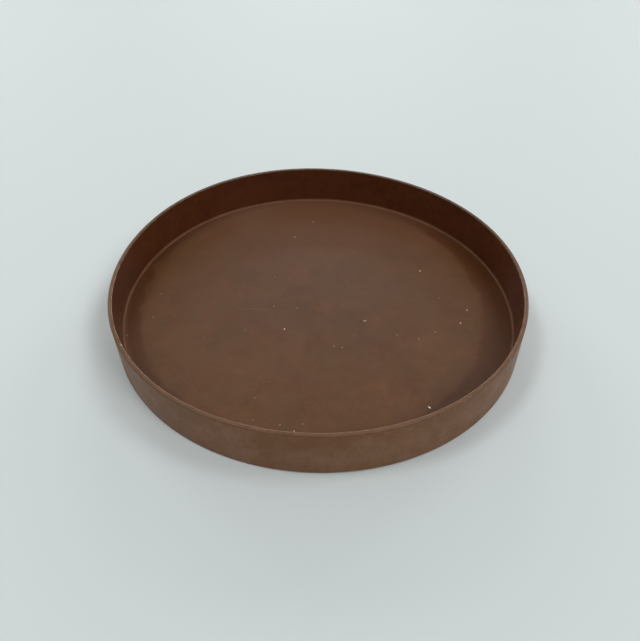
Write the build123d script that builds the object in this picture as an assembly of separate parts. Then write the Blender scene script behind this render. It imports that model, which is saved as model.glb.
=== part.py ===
from build123d import *
import math
import os

# A plant saucer: one round plastic moulding that stands under a pot and holds its run-off.
# Millimetres and degrees, +Z up. The origin is the centre of the foot, on the surface below.

# Outer form
rim_radius = 100.0
saucer_height = 24.0
outer_draft = 1.0

# Wall, thinnest at the rim and leaning in towards the floor
rim_wall = 1.9
inner_draft = 4.3
rim_edge_radius = 0.5
base_edge_radius = 1.0

# Floor of the dish, with the fillet that carries it into the wall
floor_thickness = 2.2
floor_fillet = 1.0

# Foot ring under the wall, which holds the floor clear of the surface
foot_width = 4.0
foot_height = 1.8
foot_inner_draft = 30.0

# Gate mark where the plastic came in: a shallow pit with the stub inside it
gate_pit_radius = 5.0
gate_pit_depth = 0.5
gate_pit_draft = 45.0
gate_stub_radius = 1.0
gate_stub_length = 0.4

# A rounding never takes more than this share of the wall that it sits on
largest_rounding_share = 0.45

full_turn = 360.0


def run(rise, draft):
    """How far a face drawn at this angle moves sideways over this rise."""
    return rise * math.tan(math.radians(draft))


def inside_corners():
    """The floor and the inner wall, from the axis out to the rim, as radius, height and rounding."""
    floor_top = foot_height + floor_thickness
    rim_inside = rim_radius - rim_wall
    wall_foot = rim_inside - run(saucer_height - floor_top, inner_draft)
    rim_rounding = min(rim_edge_radius, rim_wall * largest_rounding_share)
    return [
        (0, floor_top, 0),
        (wall_foot, floor_top, floor_fillet),
        (rim_inside, saucer_height, rim_rounding),
    ]


def outside_corners():
    """The outer wall, from the rim down to the foot's standing face."""
    base_radius = rim_radius - run(saucer_height, outer_draft)
    rim_rounding = min(rim_edge_radius, rim_wall * largest_rounding_share)
    base_rounding = min(base_edge_radius, foot_width * largest_rounding_share)
    foot_inside = base_radius - foot_width
    recess_radius = foot_inside - run(foot_height, foot_inner_draft)
    return [
        (rim_radius, saucer_height, rim_rounding),
        (base_radius, 0, base_rounding),
        (foot_inside, 0, 0),
        (recess_radius, foot_height, 0),
    ]


def gate_corners():
    """The pit and its stub at the middle of the underside, back to the axis."""
    pit_top = foot_height + gate_pit_depth
    pit_inside = gate_pit_radius - run(gate_pit_depth, gate_pit_draft)
    stub_tip = pit_top - gate_stub_length
    return [
        (gate_pit_radius, foot_height, 0),
        (pit_inside, pit_top, 0),
        (gate_stub_radius, pit_top, 0),
        (gate_stub_radius, stub_tip, 0),
        (0, stub_tip, 0),
    ]


def section():
    """Half of the saucer's cross-section, in the XZ plane on one side of the axis."""
    corners = inside_corners() + outside_corners() + gate_corners()
    points = [(radius, height) for radius, height, rounding in corners]
    roundings = [rounding for radius, height, rounding in corners]
    with BuildSketch(Plane.XZ) as half:
        with BuildLine():
            FilletPolyline(points, radius=roundings, close=True)
        make_face()
    return half.sketch


def saucer():
    """The whole dish, turned about its axis."""
    return revolve(section(), axis=Axis.Z, revolution_arc=full_turn)


os.makedirs("parts", exist_ok=True)
export_step(saucer(), "parts/saucer.step")
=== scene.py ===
# %% [markdown]
# # A brown plastic plant saucer
# The real object is one moulding: a flat round floor, a low wall with a rounded rim, and a foot
# ring underneath. It has stood under a pot, so the satin plastic carries a film of dried dust,
# smudges, scuffs and a few grains of grit. A plain brown dish would look like a toy, so most of
# this lesson goes into its section, which decides how light runs along the rim, and its finish.
#
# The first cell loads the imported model. Everything made here stands in its frame, in metres,
# with the origin on the table at the centre of the foot.

# %% Load the frame
import math
import bmesh
import bpy
from mathutils import Matrix, Vector, noise
from mathutils.bvhtree import BVHTree


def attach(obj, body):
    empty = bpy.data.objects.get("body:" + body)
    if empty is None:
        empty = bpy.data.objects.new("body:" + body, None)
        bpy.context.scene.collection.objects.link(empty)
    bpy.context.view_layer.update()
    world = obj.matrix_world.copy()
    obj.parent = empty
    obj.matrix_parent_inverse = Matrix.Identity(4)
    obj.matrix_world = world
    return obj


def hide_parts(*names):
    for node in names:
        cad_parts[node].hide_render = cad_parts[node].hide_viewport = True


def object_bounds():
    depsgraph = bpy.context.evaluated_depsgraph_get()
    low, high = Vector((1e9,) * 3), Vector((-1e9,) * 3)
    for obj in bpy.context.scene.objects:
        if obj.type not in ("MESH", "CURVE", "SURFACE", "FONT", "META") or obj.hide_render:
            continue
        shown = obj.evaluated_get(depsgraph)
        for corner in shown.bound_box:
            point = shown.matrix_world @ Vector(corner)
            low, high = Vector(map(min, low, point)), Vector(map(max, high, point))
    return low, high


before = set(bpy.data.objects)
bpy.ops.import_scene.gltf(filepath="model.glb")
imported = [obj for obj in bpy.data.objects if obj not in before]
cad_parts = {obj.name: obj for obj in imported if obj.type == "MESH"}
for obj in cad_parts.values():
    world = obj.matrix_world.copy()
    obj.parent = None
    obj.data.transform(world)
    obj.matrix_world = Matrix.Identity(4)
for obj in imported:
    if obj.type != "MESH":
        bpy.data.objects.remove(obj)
cad_low, cad_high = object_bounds()
MM = 0.001
rim_reach = cad_high.x
saucer_height = cad_high.z
print("packed nodes:", sorted(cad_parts))
print(f"the packed saucer reaches {rim_reach / MM:.2f} mm and is {saucer_height / MM:.2f} mm high")

# %% [markdown]
# ## The camera
# The photograph was taken from above the near side with an ordinary phone lens. The picture is
# 640 by 641 pixels, and a lens of 700 pixels gives the outline its perspective: the far side of
# the rim is drawn clearly smaller than the near side. The camera is placed by its real distance
# from the rim, aimed at a point on the rim's plane, and leans a little to one side.

# %% Camera
picture_width = 640
picture_height = 641
lens_pixels = 700.0
sensor = 36.0
camera_place = Vector((0.0, -266.15, 211.4)) * MM + Vector((0, 0, saucer_height))
camera_aim = Vector((0.88, -33.8, 0.0)) * MM + Vector((0, 0, saucer_height))
camera_lean = math.radians(-1.85)


def camera_axes():
    """The camera's right, up and forward directions."""
    forward = (camera_aim - camera_place).normalized()
    level_right = forward.cross(Vector((0, 0, 1))).normalized()
    level_up = level_right.cross(forward)
    right = level_right * math.cos(camera_lean) - level_up * math.sin(camera_lean)
    return right, right.cross(forward), forward


right, up, forward = camera_axes()
camera_data = bpy.data.cameras.new("camera")
camera_data.sensor_width = sensor
camera_data.lens = lens_pixels * sensor / max(picture_width, picture_height)
camera_data.clip_start = 10 * MM
camera = bpy.data.objects.new("camera", camera_data)
camera_turn = Matrix((right, up, -forward)).transposed().to_4x4()
camera.matrix_world = Matrix.Translation(camera_place) @ camera_turn
bpy.context.scene.collection.objects.link(camera)
bpy.context.scene.camera = camera
print(f"camera {camera_place.length / MM:.0f} mm away, lens {camera_data.lens:.1f} mm")

# %% [markdown]
# ## The section
# A body of revolution is decided by its section, so the section is where the skill goes. Each
# corner is written as a distance from the axis, a height and a rounding. The wall leans by its
# draft on both sides, because a moulding has to leave its mould, and it is thinnest at the rim.
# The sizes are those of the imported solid. This mesh adds what the solid leaves plain: small
# roundings under the foot and round the gate mark, where the plastic came in.

# %% Sizes of the section
rim_wall = 1.9 * MM
inner_draft = math.radians(4.3)
outer_draft = math.radians(1.0)
floor_thickness = 2.2 * MM
foot_height = 1.8 * MM
foot_width = 4.0 * MM
foot_inner_draft = math.radians(30)
gate_pit_radius = 5.0 * MM
gate_pit_depth = 0.5 * MM
gate_stub_radius = 1.0 * MM
gate_stub_length = 0.4 * MM
floor_fillet = 1.0 * MM
rim_edge_radius = 0.5 * MM
base_edge_radius = 1.0 * MM
foot_edge_radius = 0.4 * MM
recess_fillet = 1.0 * MM
gate_edge_radius = 0.2 * MM

floor_top = foot_height + floor_thickness
wall_foot = rim_reach - rim_wall - (saucer_height - floor_top) * math.tan(inner_draft)
base_radius = rim_reach - saucer_height * math.tan(outer_draft)
foot_inside = base_radius - foot_width
recess_radius = foot_inside - foot_height * math.tan(foot_inner_draft)
pit_top = foot_height + gate_pit_depth
corners = [
    (0, floor_top, 0),
    (wall_foot, floor_top, floor_fillet),
    (rim_reach - rim_wall, saucer_height, rim_edge_radius),
    (rim_reach, saucer_height, rim_edge_radius),
    (base_radius, 0, base_edge_radius),
    (foot_inside, 0, foot_edge_radius),
    (recess_radius, foot_height, recess_fillet),
    (gate_pit_radius, foot_height, gate_edge_radius),
    (gate_pit_radius - gate_pit_depth, pit_top, gate_edge_radius),
    (gate_stub_radius, pit_top, 0),
    (gate_stub_radius, pit_top - gate_stub_length, 0),
    (0, pit_top - gate_stub_length, 0),
]
print(f"section of {len(corners)} corners, floor {2 * wall_foot / MM:.1f} mm across at the wall")

# %% [markdown]
# ## Rounding and turning the section
# The corners become a chain of edges. A bevel of its vertices puts a true arc at each corner:
# the bevel wants the distance from the corner to where the arc starts, which is the radius times
# the tangent of half the turn. Long straight runs are cut into short ones first, so that the
# turned surface can be warped later. A spin then carries the chain round the axis. One spin of
# hundreds of steps is slow, because each step goes over all that the steps before it made. So a
# short spin turns one wedge, and a second spin copies that wedge round and merges the seams.

# %% Turn the dish
arc_steps = 8
run_length = 5.0 * MM
wedges = 20
wedge_steps = 32
same_place = 1e-6


def corner_turn(before, corner, after):
    """How far the section turns at a corner, in radians."""
    arriving = Vector(corner[:2]) - Vector(before[:2])
    leaving = Vector(after[:2]) - Vector(corner[:2])
    return arriving.angle(leaving)


def rounded_chain(mesh):
    """The section as a chain of edges with an arc at each rounded corner."""
    points = [mesh.verts.new((distance, 0, height)) for distance, height, _ in corners]
    for one, other in zip(points, points[1:]):
        mesh.edges.new((one, other))
    for before, corner, after, point in zip(corners, corners[1:], corners[2:], points[1:]):
        if corner[2]:
            reach = corner[2] * math.tan(corner_turn(before, corner, after) / 2)
            bmesh.ops.bevel(mesh, geom=[point], offset=reach, offset_type="OFFSET",
                            affect="VERTICES", segments=arc_steps, profile=0.5, material=-1)


def cut_long_runs(mesh):
    """Cuts each straight run into pieces of about the run length."""
    for edge in list(mesh.edges):
        cuts = int(edge.calc_length() / run_length)
        if cuts:
            bmesh.ops.subdivide_edges(mesh, edges=[edge], cuts=cuts)


def turned_dish():
    """The closed shell that the section makes when it goes once round the axis."""
    mesh = bmesh.new()
    rounded_chain(mesh)
    cut_long_runs(mesh)
    about = {"cent": (0, 0, 0), "axis": (0, 0, 1)}
    bmesh.ops.spin(mesh, geom=mesh.verts[:] + mesh.edges[:], angle=math.tau / wedges,
                   steps=wedge_steps, use_duplicate=False, **about)
    bmesh.ops.spin(mesh, geom=mesh.verts[:] + mesh.edges[:] + mesh.faces[:], angle=math.tau,
                   steps=wedges, use_duplicate=True, use_merge=True, **about)
    bmesh.ops.remove_doubles(mesh, verts=mesh.verts[:], dist=same_place)
    bmesh.ops.recalc_face_normals(mesh, faces=mesh.faces[:])
    return mesh


dish_mesh = turned_dish()
open_edges = sum(1 for edge in dish_mesh.edges if not edge.is_manifold)
print(f"dish: {len(dish_mesh.faces)} faces, {open_edges} open edges")

# %% [markdown]
# ## A tired rim
# The real rim isn't a perfect ring any more: pots and shelves have rubbed it, so its light line
# breaks into patches, and two small nicks show on the inner edge. Modelling that with a brush
# would be slow to repeat, so each point near the top sinks by a slow noise of its own place, and
# a nick is a smooth dip, about two millimetres wide, at one heading round the rim.

# %% Wear the rim
wear_reach = 2.0 * MM
wear_depth = 0.10 * MM
wear_grain = 9.0 * MM
# nicks: heading round from +X in degrees, width and depth
nicks = [
    (206.5, 1.6 * MM, 0.30 * MM),
    (143.0, 2.2 * MM, 0.25 * MM),
]


def nick_depth(point):
    """How deep the nicks cut at this heading round the rim."""
    heading = math.atan2(point.y, point.x)
    depth = 0
    for degrees, width, deepest in nicks:
        aside = math.remainder(heading - math.radians(degrees), math.tau) * point.xy.length
        depth += deepest * math.exp(-(2 * aside / width) ** 2)
    return depth


def wear_rim(mesh):
    """Lets the top of the wall sink unevenly, and cuts the nicks into its inner edge."""
    for point in mesh.verts:
        rise = (point.co.z - saucer_height + wear_reach) / wear_reach
        if rise > 0:
            spot = point.co.copy()
            sink = wear_depth * (0.5 + 0.5 * noise.noise(spot / wear_grain))
            inside = (rim_reach - rim_wall / 2 - spot.xy.length) / (rim_wall / 2)
            point.co.z -= rise * (sink + max(0, inside) * nick_depth(spot))


wear_rim(dish_mesh)
rim_top = max(point.co.z for point in dish_mesh.verts)
print(f"the worn rim's highest point is {rim_top / MM:.2f} mm up")

# %% [markdown]
# ## Out of round
# A thin moulding cools a little out of true, and this one's rim is up to 1.4 millimetres off a
# circle. The warp is a sum of slow waves round the rim. It fades towards the table, because the
# floor holds the foot round, and the whole ring is drawn in a little, which keeps it inside the
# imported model's box. The foot also stands a hair to one side of the rim.

# %% Warp the wall
# waves round the rim: how many, cosine and sine share of the radius
rim_waves = [(2, -0.001, 0.0058), (3, 0.0046, -0.003), (4, -0.0023, 0.0022)]
mean_share = 0.9972
foot_warp_share = 0.3
foot_aside = 0.45 * MM


def wave_at(angle):
    """How far the rim is off its circle at this angle, as a share of the radius."""
    return sum(a * math.cos(n * angle) + b * math.sin(n * angle) for n, a, b in rim_waves)


def warp(mesh):
    """Moves each point in or out along its own radius, and the foot aside."""
    for point in mesh.verts:
        angle = math.atan2(point.co.y, point.co.x)
        rise = point.co.z / saucer_height
        strength = foot_warp_share + (1 - foot_warp_share) * rise
        scale = mean_share * (1 + strength * wave_at(angle))
        point.co.x = point.co.x * scale + foot_aside * (1 - rise)
        point.co.y *= scale


warp(dish_mesh)
widest = max(point.co.xy.length for point in dish_mesh.verts)
print(f"widest after the warp {widest / MM:.2f} mm")

# %% [markdown]
# ## The piece
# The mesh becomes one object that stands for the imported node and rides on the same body. Smooth
# shading with weighted normals keeps the floor dead flat and gives all the turning to the
# roundings, so the rim catches light the way a moulded edge does.

# %% Make the saucer
dish_data = bpy.data.meshes.new("saucer_dish")
dish_mesh.to_mesh(dish_data)
for face in dish_data.polygons:
    face.use_smooth = True
dish = bpy.data.objects.new("saucer_dish", dish_data)
bpy.context.scene.collection.objects.link(dish)
dish.modifiers.new("flat faces stay flat", "WEIGHTED_NORMAL")
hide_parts("saucer")
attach(dish, "root")

# %% [markdown]
# ## Small helpers for a node material
# A finish with this much in it needs many nodes, and wiring them one by one hides the idea. Each
# helper here is one node with a plain name: calc and vector_calc do sums, fade turns a value into
# a soft step, mix blends two colours, and cloud is a soft noise whose blotches have a real size.

# %% Node helpers
plastic = bpy.data.materials.new("brown_plastic")
plastic.use_nodes = True
dish_data.materials.append(plastic)
nodes = plastic.node_tree.nodes
links = plastic.node_tree.links
shader = nodes["Principled BSDF"]
coordinates = nodes.new("ShaderNodeTexCoord")
place = coordinates.outputs["Object"]
gives_a_number = ("DOT_PRODUCT", "LENGTH", "DISTANCE")


def feed(socket, value):
    """Links a socket to an output, or sets it to a number or a colour."""
    if isinstance(value, bpy.types.NodeSocket):
        links.new(value, socket)
    else:
        socket.default_value = value


def calc(operation, *values):
    """One Math node over numbers and outputs."""
    node = nodes.new("ShaderNodeMath")
    node.operation = operation
    for socket, value in zip(node.inputs, values):
        feed(socket, value)
    return node.outputs["Value"]


def vector_calc(operation, *values):
    """One Vector Math node, which gives a vector or, for a length or a dot product, a number."""
    node = nodes.new("ShaderNodeVectorMath")
    node.operation = operation
    for socket, value in zip(node.inputs, values):
        feed(socket, value)
    return node.outputs["Value" if operation in gives_a_number else "Vector"]


def fade(value, start, end, low=0.0, high=1.0):
    """Goes softly from low to high as the value goes from start to end."""
    node = nodes.new("ShaderNodeMapRange")
    node.interpolation_type = "SMOOTHSTEP"
    sockets = ("Value", "From Min", "From Max", "To Min", "To Max")
    for name, number in zip(sockets, (value, start, end, low, high)):
        feed(node.inputs[name], number)
    return node.outputs["Result"]


def mix(share, first, second):
    """Blends two colours: a share of 0 is the first, 1 the second."""
    node = nodes.new("ShaderNodeMix")
    node.data_type = "RGBA"
    sockets = [socket for socket in node.inputs if socket.enabled]
    for socket, value in zip(sockets, (share, first, second)):
        feed(socket, value)
    return next(socket for socket in node.outputs if socket.enabled)


def total(values):
    """Adds any number of outputs."""
    result = values[0]
    for value in values[1:]:
        result = calc("ADD", result, value)
    return result


def cloud(size, seed, detail=2.0):
    """Soft noise about zero, mostly from -0.2 to 0.2, with blotches of this size in metres."""
    node = nodes.new("ShaderNodeTexNoise")
    node.noise_dimensions = "4D"
    feed(node.inputs["Vector"], place)
    feed(node.inputs["W"], seed)
    feed(node.inputs["Scale"], 1 / size)
    feed(node.inputs["Detail"], detail)
    return calc("SUBTRACT", node.outputs[0], 0.5)


print(f"the finish starts with {len(nodes)} nodes")

# %% [markdown]
# ## Where on the dish
# The dust lies on the floor, the scuffs are on the outside, and the inner wall is nearly clean.
# So the finish first asks where it is. Height and distance from the axis come from the Object
# coordinates. The way the surface faces comes from its normal: outwards along the radius on the
# outer wall, inwards on the inner wall. On a rounding the normal turns smoothly, so one finish
# runs into the next without a hard line.

# %% Zones of the dish
level_place = vector_calc("MULTIPLY", place, (1, 1, 0))
radius = vector_calc("LENGTH", level_place)
heading = vector_calc("NORMALIZE", level_place)
outward = vector_calc("DOT_PRODUCT", heading, coordinates.outputs["Normal"])
height = vector_calc("DOT_PRODUCT", place, (0, 0, 1))
across_y = vector_calc("DOT_PRODUCT", place, (0, 1, 0))

in_dish = fade(height, floor_top - 0.8 * MM, floor_top - 0.2 * MM)
on_outside = fade(outward, 0.3, 0.7)
on_inner_wall = calc("MULTIPLY", in_dish, fade(outward, -0.3, -0.7))
rim_height = fade(height, saucer_height - 1.2 * MM, saucer_height - 0.4 * MM)
on_rim = calc("MULTIPLY", rim_height, fade(radius, wall_foot - MM, wall_foot))
print("zones: floor, inner wall, rim and outer wall")

# %% [markdown]
# ## Marks with a place
# A few marks can be pointed at in the photograph, so they belong where it shows them. The camera
# is known, so a ray through the pixel lands on the very spot of the dish, and a mark painted
# there stays put from every other side. One mark is a Mapping node, which moves, turns and
# scales the coordinates so that the mark becomes a unit ball, and a soft step on the distance
# from its middle. For smudges and grit a little noise is added to the coordinates first, so that
# they aren't neat ovals.

# %% Point at the dish
dish_tree = BVHTree.FromBMesh(dish_mesh)
dish_mesh.free()
mark_thickness = 1.5 * MM


def place_under(pixel_x, pixel_y):
    """Where the camera's ray through this pixel of the photograph meets the dish."""
    aside = (pixel_x - picture_width / 2) / lens_pixels
    rise = (picture_height / 2 - pixel_y) / lens_pixels
    ray = (forward + right * aside + up * rise).normalized()
    return dish_tree.ray_cast(camera_place, ray)[0]


def blurred_place(size, seed, amount):
    """The coordinates, pushed about by noise of this size and amount in metres."""
    node = nodes.new("ShaderNodeTexNoise")
    node.noise_dimensions = "4D"
    feed(node.inputs["Vector"], place)
    feed(node.inputs["W"], seed)
    feed(node.inputs["Scale"], 1 / size)
    push = vector_calc("SUBTRACT", node.outputs["Color"], (0.5, 0.5, 0.5))
    return vector_calc("MULTIPLY_ADD", push, (amount, amount, amount), place)


def mark(coordinate, middle, length, width, degrees, strength, softness):
    """A soft oval mark of this strength, half as long and wide as its length and width."""
    node = nodes.new("ShaderNodeMapping")
    node.vector_type = "TEXTURE"
    feed(node.inputs["Vector"], coordinate)
    feed(node.inputs["Location"], middle)
    feed(node.inputs["Rotation"], (0, 0, math.radians(degrees)))
    feed(node.inputs["Scale"], (length / 2, width / 2, mark_thickness))
    distance = vector_calc("LENGTH", node.outputs["Vector"])
    return fade(distance, 1 + softness, 1 - softness, 0.0, strength)


first_hit = place_under(picture_width / 2, picture_height / 2)
print(f"the picture's middle shows the floor at {first_hit.x / MM:.0f}, {first_hit.y / MM:.0f} mm")

# %% [markdown]
# ## Dust film, painted shade and painted sheen on the floor
# Water that stood in the saucer dried and left the floor paler and greyer than clean plastic, in
# patches that are only just seen. A value from 0, clean, to 1, dusty, blends two browns, and here
# and there they turn a little towards olive. The value adds clouds of five sizes to the smudges
# that the photograph shows: each is a place on the floor in millimetres, a size, and how much
# paler or darker it is. The last five in the list are painted shade and painted light, not smudges.
# The floor is painted greyer towards the back, as painted sheen. Short of the wall at the sides and
# the front lies a band that is partly bare plastic and partly painted wall shadow, and it is
# painted darkest at the front.

# %% Dust film, painted shade and painted sheen
# x, y, width along x, width along y, all in millimetres, and how much paler or darker
smudges_and_shade = [
    (5, 50, 28, 26, 0.24),
    (40, 18, 14, 26, 0.22),
    (56, -30, 24, 22, 0.20),
    (-30, -53, 18, 15, 0.22),
    (22, -53, 17, 15, 0.16),
    (70, -3, 14, 16, 0.16),
    (-55, -10, 14, 16, 0.14),
    (-70, -30, 16, 18, 0.16),
    (-12, 0, 16, 26, -0.16),
    (22, -10, 14, 30, -0.20),
    (-35, 9, 12, 26, -0.16),
    (8, 22, 16, 16, -0.16),
    (-20, -60, 24, 18, -0.30),
    (-2, -70, 26, 14, -0.26),
    (-45, 58, 26, 22, -0.16),
    (40, 55, 20, 22, -0.16),
    (-70, 5, 22, 26, -0.13),
    # painted shade and light from here on: a darker middle, a paler back right corner, and darker
    # painted wall shadows at the front right, front left and left
    (0, 0, 76, 70, -0.34),
    (60, 56, 34, 28, 0.45),
    (58, -60, 36, 22, -0.35),
    (-64, -66, 26, 20, -0.35),
    (-90, 0, 10, 40, -0.40),
]
# size of the blotches in millimetres, seed and strength of each cloud of dust
floor_clouds = [(26, 2.0, 0.3), (14, 2.5, 0.8), (8, 3.0, 0.9), (2.5, 4.0, 0.9), (1.0, 4.5, 1.0)]
even_dust = 0.5
dust_by_the_wall = 0.12
smudge_softness = 0.6
# bare plastic and painted shadow of the wall share this colour
bare_and_shaded_floor = (0.0740, 0.0190, 0.0020, 1)
# painted shade: the band by the wall is darker at the front
front_shade_floor = (0.0450, 0.0130, 0.0010, 1)
clean_floor = (0.0820, 0.0310, 0.0115, 1)
dusty_floor = (0.1220, 0.0490, 0.0175, 1)
# painted sheen: the floor is made greyer towards the back
sheen_grey_floor = (0.1290, 0.0570, 0.0300, 1)
olive_floor = (0.0830, 0.0420, 0.0130, 1)
# how far each of these colours takes over where it is strongest
most_bare_and_shade = 0.62
most_front_shade = 0.6
most_painted_sheen = 0.8
most_olive = 0.4
bare_and_shade_left_at_back = 0.15


def clouded(even, listed):
    """A share that is even all over, then made uneven by the clouds that are listed."""
    clouds = [calc("MULTIPLY", cloud(size * MM, seed), strength) for size, seed, strength in listed]
    return total([even] + clouds)


smeared_place = blurred_place(14 * MM, 1.0, 14 * MM)
film = [clouded(even_dust, floor_clouds), fade(radius, 45 * MM, 80 * MM, 0.0, dust_by_the_wall)]
for x, y, width, depth, strength in smudges_and_shade:
    spot = (x * MM, y * MM, floor_top)
    film.append(mark(smeared_place, spot, width * MM, depth * MM, 0, strength, smudge_softness))
dust = total(film)
print(f"dust film: {len(smudges_and_shade)} smudges and {len(floor_clouds)} sizes of cloud")

# %% Edge of the film and of the painted wall shadow
film_middle = (-3.2 * MM, 3.8 * MM, 0)
film_shape = (1, 0.93, 0)
film_and_shadow_reach = 85.5 * MM
film_and_shadow_edge = 1.6 * MM

edge_place = blurred_place(10 * MM, 1.5, 8 * MM)
beyond_film = vector_calc("DISTANCE", vector_calc("MULTIPLY", edge_place, film_shape), film_middle)
# the band short of the wall: partly bare plastic, partly painted shadow of the wall
bare_and_shade_share = fade(beyond_film, film_and_shadow_reach - film_and_shadow_edge, film_and_shadow_reach + film_and_shadow_edge, 0.0, most_bare_and_shade)
bare_and_shade_share = calc("MULTIPLY", bare_and_shade_share, fade(across_y, 60 * MM, 85 * MM, 1.0, bare_and_shade_left_at_back))
# painted shade, darker towards the front
front_shade_share = fade(across_y, -30 * MM, -60 * MM, 0.0, most_front_shade)
# painted sheen, strongest at the back
painted_sheen_share = fade(across_y, 20 * MM, 80 * MM, 0.0, most_painted_sheen)
olive_share = fade(cloud(11 * MM, 4.8), -0.12, 0.12, 0.0, most_olive)
floor_colour = mix(olive_share, mix(dust, clean_floor, dusty_floor), olive_floor)
floor_colour = mix(painted_sheen_share, floor_colour, sheen_grey_floor)
floor_colour = mix(bare_and_shade_share, floor_colour, mix(front_shade_share, bare_and_shaded_floor, front_shade_floor))
print(f"the film reaches {film_and_shadow_reach / MM:.0f} mm from its middle to either side")

# %% [markdown]
# ## Walls and rim
# The inner wall is the cleanest plastic, dark and a little redder, and it is painted paler towards
# the back, as painted light. The outer wall has been handled and is scuffed paler in patches, least
# just below the rim. Its far side isn't in the photograph; it is painted darker and greyer, as
# painted shade against the stronger light there. The rim is rubbed at the front and cleaner at the
# back. Dust gathers in the corner where the floor meets the wall, and the corner is also painted
# paler as a painted highlight of its rounding, most at the back, with a painted band out from the
# corner on the left.

# %% Wall and rim colours
clean_wall = (0.0570, 0.0120, 0.0015, 1)
dull_wall = (0.0880, 0.0225, 0.0055, 1)
scuffed_outside = (0.1960, 0.0910, 0.0420, 1)
plain_outside = (0.1490, 0.0550, 0.0120, 1)
# painted shade: the outer wall darker and greyer behind, against the stronger light there
scuffed_behind_painted_shade = (0.1250, 0.0620, 0.0340, 1)
plain_behind_painted_shade = (0.0920, 0.0400, 0.0180, 1)
rubbed_rim = (0.1420, 0.0670, 0.0300, 1)
plain_rim = (0.1050, 0.0450, 0.0150, 1)
back_rim = (0.0650, 0.0270, 0.0090, 1)
# size of the blotches in millimetres, seed and strength
wall_clouds = [(12, 5.0, 2.0), (4, 5.5, 1.6)]
scuff_clouds = [(22, 6.0, 1.4), (9, 6.5, 1.6), (4.5, 7.0, 1.4), (1.5, 7.5, 1.6)]
rub_clouds = [(8, 8.0, 2.0), (2, 9.0, 1.5)]
even_dullness = 0.4
painted_light_behind = 0.42
even_scuffs = 0.5
fewer_scuffs_high_up = -0.4
even_rubbing = 0.5
less_rubbed_front_left = -0.5
front_left = 225


def agrees_with(degrees):
    """How well a point's heading round the axis agrees with this one, from 1 down to -1."""
    angle = math.radians(degrees)
    return vector_calc("DOT_PRODUCT", heading, (math.cos(angle), math.sin(angle), 0))


at_back = fade(across_y, -30 * MM, 70 * MM)
# painted light: the inner wall is made paler towards the back
dullness_and_light = total([clouded(even_dullness, wall_clouds), calc("MULTIPLY", at_back, painted_light_behind)])
wall_colour = mix(dullness_and_light, clean_wall, dull_wall)
high_up = fade(height, 12 * MM, 23 * MM, 0.0, fewer_scuffs_high_up)
scuffs = total([clouded(even_scuffs, scuff_clouds), high_up])
outside_colour = mix(scuffs, plain_outside, scuffed_outside)
# painted shade on the far side of the outer wall
outside_colour = mix(at_back, outside_colour, mix(scuffs, plain_behind_painted_shade, scuffed_behind_painted_shade))
spared = fade(agrees_with(front_left), 0.8, 1.0, 0.0, less_rubbed_front_left)
rubbing = total([clouded(even_rubbing, rub_clouds), spared])
rim_colour = mix(at_back, mix(rubbing, plain_rim, rubbed_rim), back_rim)
print(f"walls and rim with clouds of {len(wall_clouds + scuff_clouds + rub_clouds)} kinds")

# %% Corner dust, painted fillet highlight and the whole colour
# the corner colour is partly dust and partly a painted highlight of the fillet line
corner_dust_and_highlight = (0.1700, 0.0760, 0.0280, 1)
least_corner = 0.25
most_corner = 0.6
more_at_back = 1.35
drift_and_highlight_heading = 198
most_drift_and_highlight = 0.35

in_corner = fade(height, floor_top + 1.6 * MM, floor_top + 0.6 * MM)
in_corner = calc("MULTIPLY", fade(outward, -0.05, -0.3), in_corner)
corner_dust_and_highlight_share = fade(cloud(10 * MM, 10.0), -0.25, 0.25, least_corner, most_corner)
corner_dust_and_highlight_share = calc("MULTIPLY", in_corner, corner_dust_and_highlight_share)
corner_dust_and_highlight_share = calc("MULTIPLY", corner_dust_and_highlight_share, fade(across_y, 40 * MM, 90 * MM, 1.0, more_at_back))
# a pale band out from the corner on the left: dust and a painted highlight wider than the rounding
drift_and_highlight = fade(radius, wall_foot - 3.5 * MM, wall_foot - 1.5 * MM, 0.0, most_drift_and_highlight)
drift_and_highlight = calc("MULTIPLY", drift_and_highlight, fade(agrees_with(drift_and_highlight_heading), 0.93, 0.99))
drift_and_highlight = calc("MULTIPLY", drift_and_highlight, fade(height, floor_top + 0.8 * MM, floor_top))
corner_dust_and_highlight_share = calc("MAXIMUM", corner_dust_and_highlight_share, drift_and_highlight)
colour = mix(on_inner_wall, floor_colour, wall_colour)
colour = mix(on_outside, colour, outside_colour)
colour = mix(on_rim, colour, rim_colour)
colour = mix(calc("MULTIPLY", corner_dust_and_highlight_share, in_dish), colour, corner_dust_and_highlight)
print("four zones and the corner have their browns")

# %% [markdown]
# ## Grit, specks and a scratch
# About thirty pale grains lie in the dish, most of them no bigger than a full stop. They are
# painted, not modelled, because they are dirt and not a part of the saucer. Each is a pixel of
# the photograph with a length, a width, a turn and how pale it is, and a dozen dark specks are
# listed in the same way. A faint scratch, and part of a ring where a pot's edge stood, are drawn
# as very thin marks.

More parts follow.
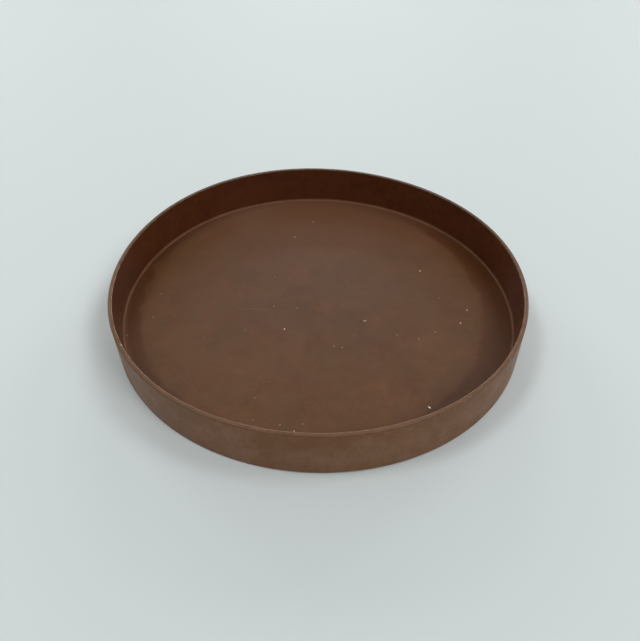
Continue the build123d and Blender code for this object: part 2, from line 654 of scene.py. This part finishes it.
# %% Grit and scratches
# pixel across and down, length and width in millimetres, turn in degrees, how pale
grains = [
    (313.0, 222.0, 0.8, 0.7, 0, 0.40),
    (295.0, 237.0, 0.8, 0.7, 0, 0.40),
    (354.0, 253.0, 0.6, 0.5, 0, 0.30),
    (420.0, 271.0, 0.8, 0.7, 0, 1.00),
    (423.0, 237.0, 0.5, 0.5, 0, 0.20),
    (161.0, 294.0, 0.6, 0.5, 0, 0.30),
    (153.0, 317.0, 0.6, 0.5, 0, 0.30),
    (275.0, 277.0, 0.6, 0.5, 0, 0.25),
    (274.0, 306.0, 0.6, 0.5, 0, 0.30),
    (297.0, 308.0, 0.6, 0.5, 0, 0.25),
    (284.5, 329.0, 0.6, 0.6, 0, 1.00),
    (364.8, 320.9, 1.8, 0.4, 5, 0.75),
    (334.0, 346.0, 0.6, 0.5, 0, 0.30),
    (342.0, 347.5, 0.6, 0.5, 0, 0.30),
    (467.0, 310.0, 0.6, 0.6, 30, 1.00),
    (460.5, 323.0, 0.7, 0.6, 60, 1.00),
    (439.0, 298.0, 0.6, 0.5, 0, 0.30),
    (435.0, 332.0, 0.6, 0.5, 0, 0.30),
    (419.0, 339.0, 0.6, 0.5, 0, 0.30),
    (397.0, 335.0, 0.6, 0.5, 0, 0.30),
    (429.5, 407.5, 1.4, 0.7, -45, 1.00),
    (255.0, 398.0, 0.6, 0.5, 0, 0.18),
    (253.0, 420.0, 0.6, 0.5, 0, 0.18),
    (280.0, 425.0, 0.6, 0.5, 0, 0.18),
    (303.0, 424.0, 0.6, 0.5, 0, 0.18),
    (121.4, 345.0, 0.8, 0.7, 0, 0.50),
    (245.0, 330.0, 0.5, 0.5, 0, 0.20),
    (127.5, 335.0, 0.6, 0.5, 0, 0.35),
    (294.0, 431.0, 0.6, 0.5, 0, 0.50),
]
grain_colour = (0.85, 0.77, 0.70, 1)
# dark specks in the same way, with how dark instead of how pale
specks = [
    (199.0, 322.0, 2.6, 0.9, 20, 0.50),
    (200.0, 337.5, 2.0, 1.2, -30, 0.45),
    (208.0, 345.5, 2.2, 0.9, 10, 0.45),
    (222.0, 330.0, 1.0, 0.9, 0, 0.65),
    (279.0, 338.0, 1.4, 0.9, -50, 0.70),
    (266.5, 379.5, 1.0, 0.8, 0, 0.65),
    (361.3, 321.3, 0.8, 0.8, 0, 0.90),
    (382.5, 399.5, 0.9, 0.8, 0, 0.65),
    (395.0, 405.0, 1.0, 0.8, 0, 0.45),
    (430.5, 316.5, 1.2, 0.8, 80, 0.50),
    (247.5, 284.0, 1.6, 1.0, -60, 0.45),
    (211.5, 227.5, 1.2, 0.8, 0, 0.45),
]
speck_colour = (0.030, 0.016, 0.008, 1)

grain_softness = 0.25
speck_softness = 0.6
grain_place = blurred_place(0.5 * MM, 11.0, 0.25 * MM)


def pointed_marks(listed, softness):
    """The sum of the marks listed by their pixels."""
    marks = []
    for pixel_x, pixel_y, length, width, degrees, strength in listed:
        spot = place_under(pixel_x, pixel_y)
        marks.append(mark(grain_place, spot, length * MM, width * MM, degrees, strength, softness))
    return total(marks)


grit = pointed_marks(grains, grain_softness)
dirt = pointed_marks(specks, speck_softness)
print(f"{len(grains)} grains and {len(specks)} specks")

# %% Scratch and ring
scratch_pixel = (253.5, 309.0)
scratch_length = 14 * MM
scratch_width = 0.35 * MM
scratch_paleness = 0.055
scratch_softness = 0.5
ring_reach = 80 * MM
ring_width = 0.5 * MM
ring_heading = 225
ring_paleness = 0.014

scratch_spot = place_under(*scratch_pixel)
scratch = mark(place, scratch_spot, scratch_length, scratch_width, 0, scratch_paleness,
               scratch_softness)
off_ring = calc("ABSOLUTE", calc("SUBTRACT", radius, ring_reach))
ring = fade(agrees_with(ring_heading), 0.97, 0.998, 0.0, ring_paleness)
ring = calc("MULTIPLY", ring, fade(off_ring, ring_width, 0.0))
ring = calc("MULTIPLY", ring, in_dish)
colour = mix(dirt, colour, speck_colour)
pale_marks = total([grit, scratch, ring])
colour = mix(pale_marks, colour, grain_colour)
feed(shader.inputs["Base Color"], colour)
print(f"one scratch and part of a ring; {len(nodes)} nodes so far")

# %% [markdown]
# ## Gloss
# Moulded polypropylene has a soft gloss. Dust dulls the floor a little, scuffs dull the outside
# more, the corner, where dust lies and its highlight is painted in the colour, loses nearly all its
# shine, and the clean inner wall keeps the most. The roughness gets small clouds of its own,
# stronger on the rim, so that the highlights break up. The gloss strength itself is one number on
# the shader's own socket, and so is the index of refraction of this plastic.

# %% Gloss
floor_roughness = 0.35
wall_change = -0.12
outside_change = 0.12
rim_change = 0.05
corner_change = 0.40
grit_change = 0.40
gloss_clouds = [(6, 12.0, 0.20)]
rim_gloss_clouds = [(3, 12.5, 0.8)]
refraction = 1.49
gloss_strength = 0.40

roughness = total([
    clouded(floor_roughness, gloss_clouds),
    calc("MULTIPLY", on_inner_wall, wall_change),
    calc("MULTIPLY", on_outside, outside_change),
    calc("MULTIPLY", on_rim, clouded(rim_change, rim_gloss_clouds)),
    calc("MULTIPLY", calc("MULTIPLY", in_corner, in_dish), corner_change),
    calc("MULTIPLY", grit, grit_change),
])
feed(shader.inputs["Roughness"], roughness)
shader.inputs["IOR"].default_value = refraction
shader.inputs["Specular IOR Level"].default_value = gloss_strength
print(f"floor roughness {floor_roughness}, outer wall {floor_roughness + outside_change:.2f}")

# %% [markdown]
# ## Grain and slow waves
# Under a raking light the surface shows the fine grain of the mould, and ripples and slow waves
# where the plastic shrank. All go through one Bump node, whose height is in metres here: a few
# thousandths of a millimetre of grain and ripple, a few hundredths of slow wave, and the grains
# of grit standing a little proud.

# %% Bump
# grain, ripple and wave: size of the blotches, seed, detail and height, sizes in millimetres
relief = [(0.7, 13.0, 2.0, 0.010), (4, 14.0, 2.0, 0.020), (30, 15.0, 0.0, 0.12)]
grit_height = 0.15 * MM

heights = [calc("MULTIPLY", grit, grit_height)]
for size, seed, detail, rise in relief:
    heights.append(calc("MULTIPLY", cloud(size * MM, seed, detail), rise * MM))
bump = nodes.new("ShaderNodeBump")
bump.inputs["Distance"].default_value = 1.0
feed(bump.inputs["Height"], total(heights))
feed(shader.inputs["Normal"], bump.outputs["Normal"])
print(f"the finish has {len(nodes)} nodes")

# %% [markdown]
# ## The table
# The saucer stands on a pale, matt, blue-grey sheet. The stage is a plain floor of that colour,
# large enough that its edge is far away from every view.

# %% Table
table_side = 12.0
table_colour = (0.606, 0.667, 0.678, 1)
table_roughness = 0.6
table_gloss = 0.2
table_mesh = bmesh.new()
bmesh.ops.create_grid(table_mesh, x_segments=1, y_segments=1, size=table_side / 2)
table_data = bpy.data.meshes.new("table")
table_mesh.to_mesh(table_data)
table_mesh.free()
table = bpy.data.objects.new("table", table_data)
bpy.context.scene.collection.objects.link(table)
table_finish = bpy.data.materials.new("pale_table")
table_finish.use_nodes = True
table_shader = table_finish.node_tree.nodes["Principled BSDF"]
table_shader.inputs["Base Color"].default_value = table_colour
table_shader.inputs["Roughness"].default_value = table_roughness
table_shader.inputs["Specular IOR Level"].default_value = table_gloss
table_data.materials.append(table_finish)
print(f"table {table_side:.0f} m wide")

# %% [markdown]
# ## Light
# The photograph was lit from windows and ceiling panels: soft light from the right, from the
# front right corner and from the left, and a low bright band behind, whose sheen lies on the
# floor of the dish. Area lamps near the saucer would light the table unevenly, so each light is a
# sun with a wide disc, which is soft but equally strong everywhere. Three low suns side by side
# stand for the window behind. Together with the room they light the table at a plain level, at
# which a colour renders about as it is written.

# %% Lamps
# name, heading round from +X and height in degrees, width of the disc in degrees, strength
suns = [
    ("right light", 14, 58, 21, 0.54),
    ("front right light", 318, 48, 21, 0.77),
    ("left light", 182, 63, 16, 0.68),
    ("window, left pane", 122, 12, 24, 0.70),
    ("window, middle pane", 90, 12, 24, 0.70),
    ("window, right pane", 58, 12, 24, 0.70),
]


def hang_sun(name, around, height_angle, disc, strength):
    """A soft sun that shines on the saucer from this heading and height."""
    sun_data = bpy.data.lights.new(name, "SUN")
    sun_data.energy = strength
    sun_data.angle = math.radians(disc)
    sun = bpy.data.objects.new(name, sun_data)
    level = math.cos(math.radians(height_angle))
    towards = Vector((level * math.cos(math.radians(around)), level * math.sin(math.radians(around)),
                      math.sin(math.radians(height_angle))))
    sun.rotation_euler = (-towards).to_track_quat("-Z", "Y").to_euler()
    bpy.context.scene.collection.objects.link(sun)
    return strength * towards.z


on_the_table = sum(hang_sun(*sun) for sun in suns)
print(f"the suns alone light the table at {on_the_table / math.pi:.2f} of full white")

# %% [markdown]
# ## The room
# The room gives a little light from everywhere, through one plain world. A pale background is a
# matter of what is seen, not of more light, so the world has two strengths: Light Path tells
# the rays that the camera sees, and those that gloss or glass send on, from the rays that light
# the saucer, and only the former find it paler.

# %% Room
room_glow = 0.38
seen_glow = 0.50
room_colour = (1.0, 0.97, 0.93, 1)
world = bpy.data.worlds.new("soft room")
world.use_nodes = True
room_nodes = world.node_tree.nodes
room_links = world.node_tree.links
background = room_nodes["Background"]
background.inputs["Color"].default_value = room_colour
light_path = room_nodes.new("ShaderNodeLightPath")
seen = light_path.outputs["Is Camera Ray"]
for ray in ("Is Glossy Ray", "Is Transmission Ray"):
    either = room_nodes.new("ShaderNodeMath")
    either.operation = "MAXIMUM"
    room_links.new(seen, either.inputs[0])
    room_links.new(light_path.outputs[ray], either.inputs[1])
    seen = either.outputs["Value"]
glow = room_nodes.new("ShaderNodeMapRange")
glow.inputs["To Min"].default_value = room_glow
glow.inputs["To Max"].default_value = seen_glow
room_links.new(seen, glow.inputs["Value"])
room_links.new(glow.outputs["Result"], background.inputs["Strength"])
bpy.context.scene.world = world
print(f"room glow {room_glow}, seen as {seen_glow}")

# %% [markdown]
# ## View transform
# The view transform is Standard, so a colour renders as it is written.

# %% Finish
bpy.context.scene.view_settings.view_transform = "Standard"
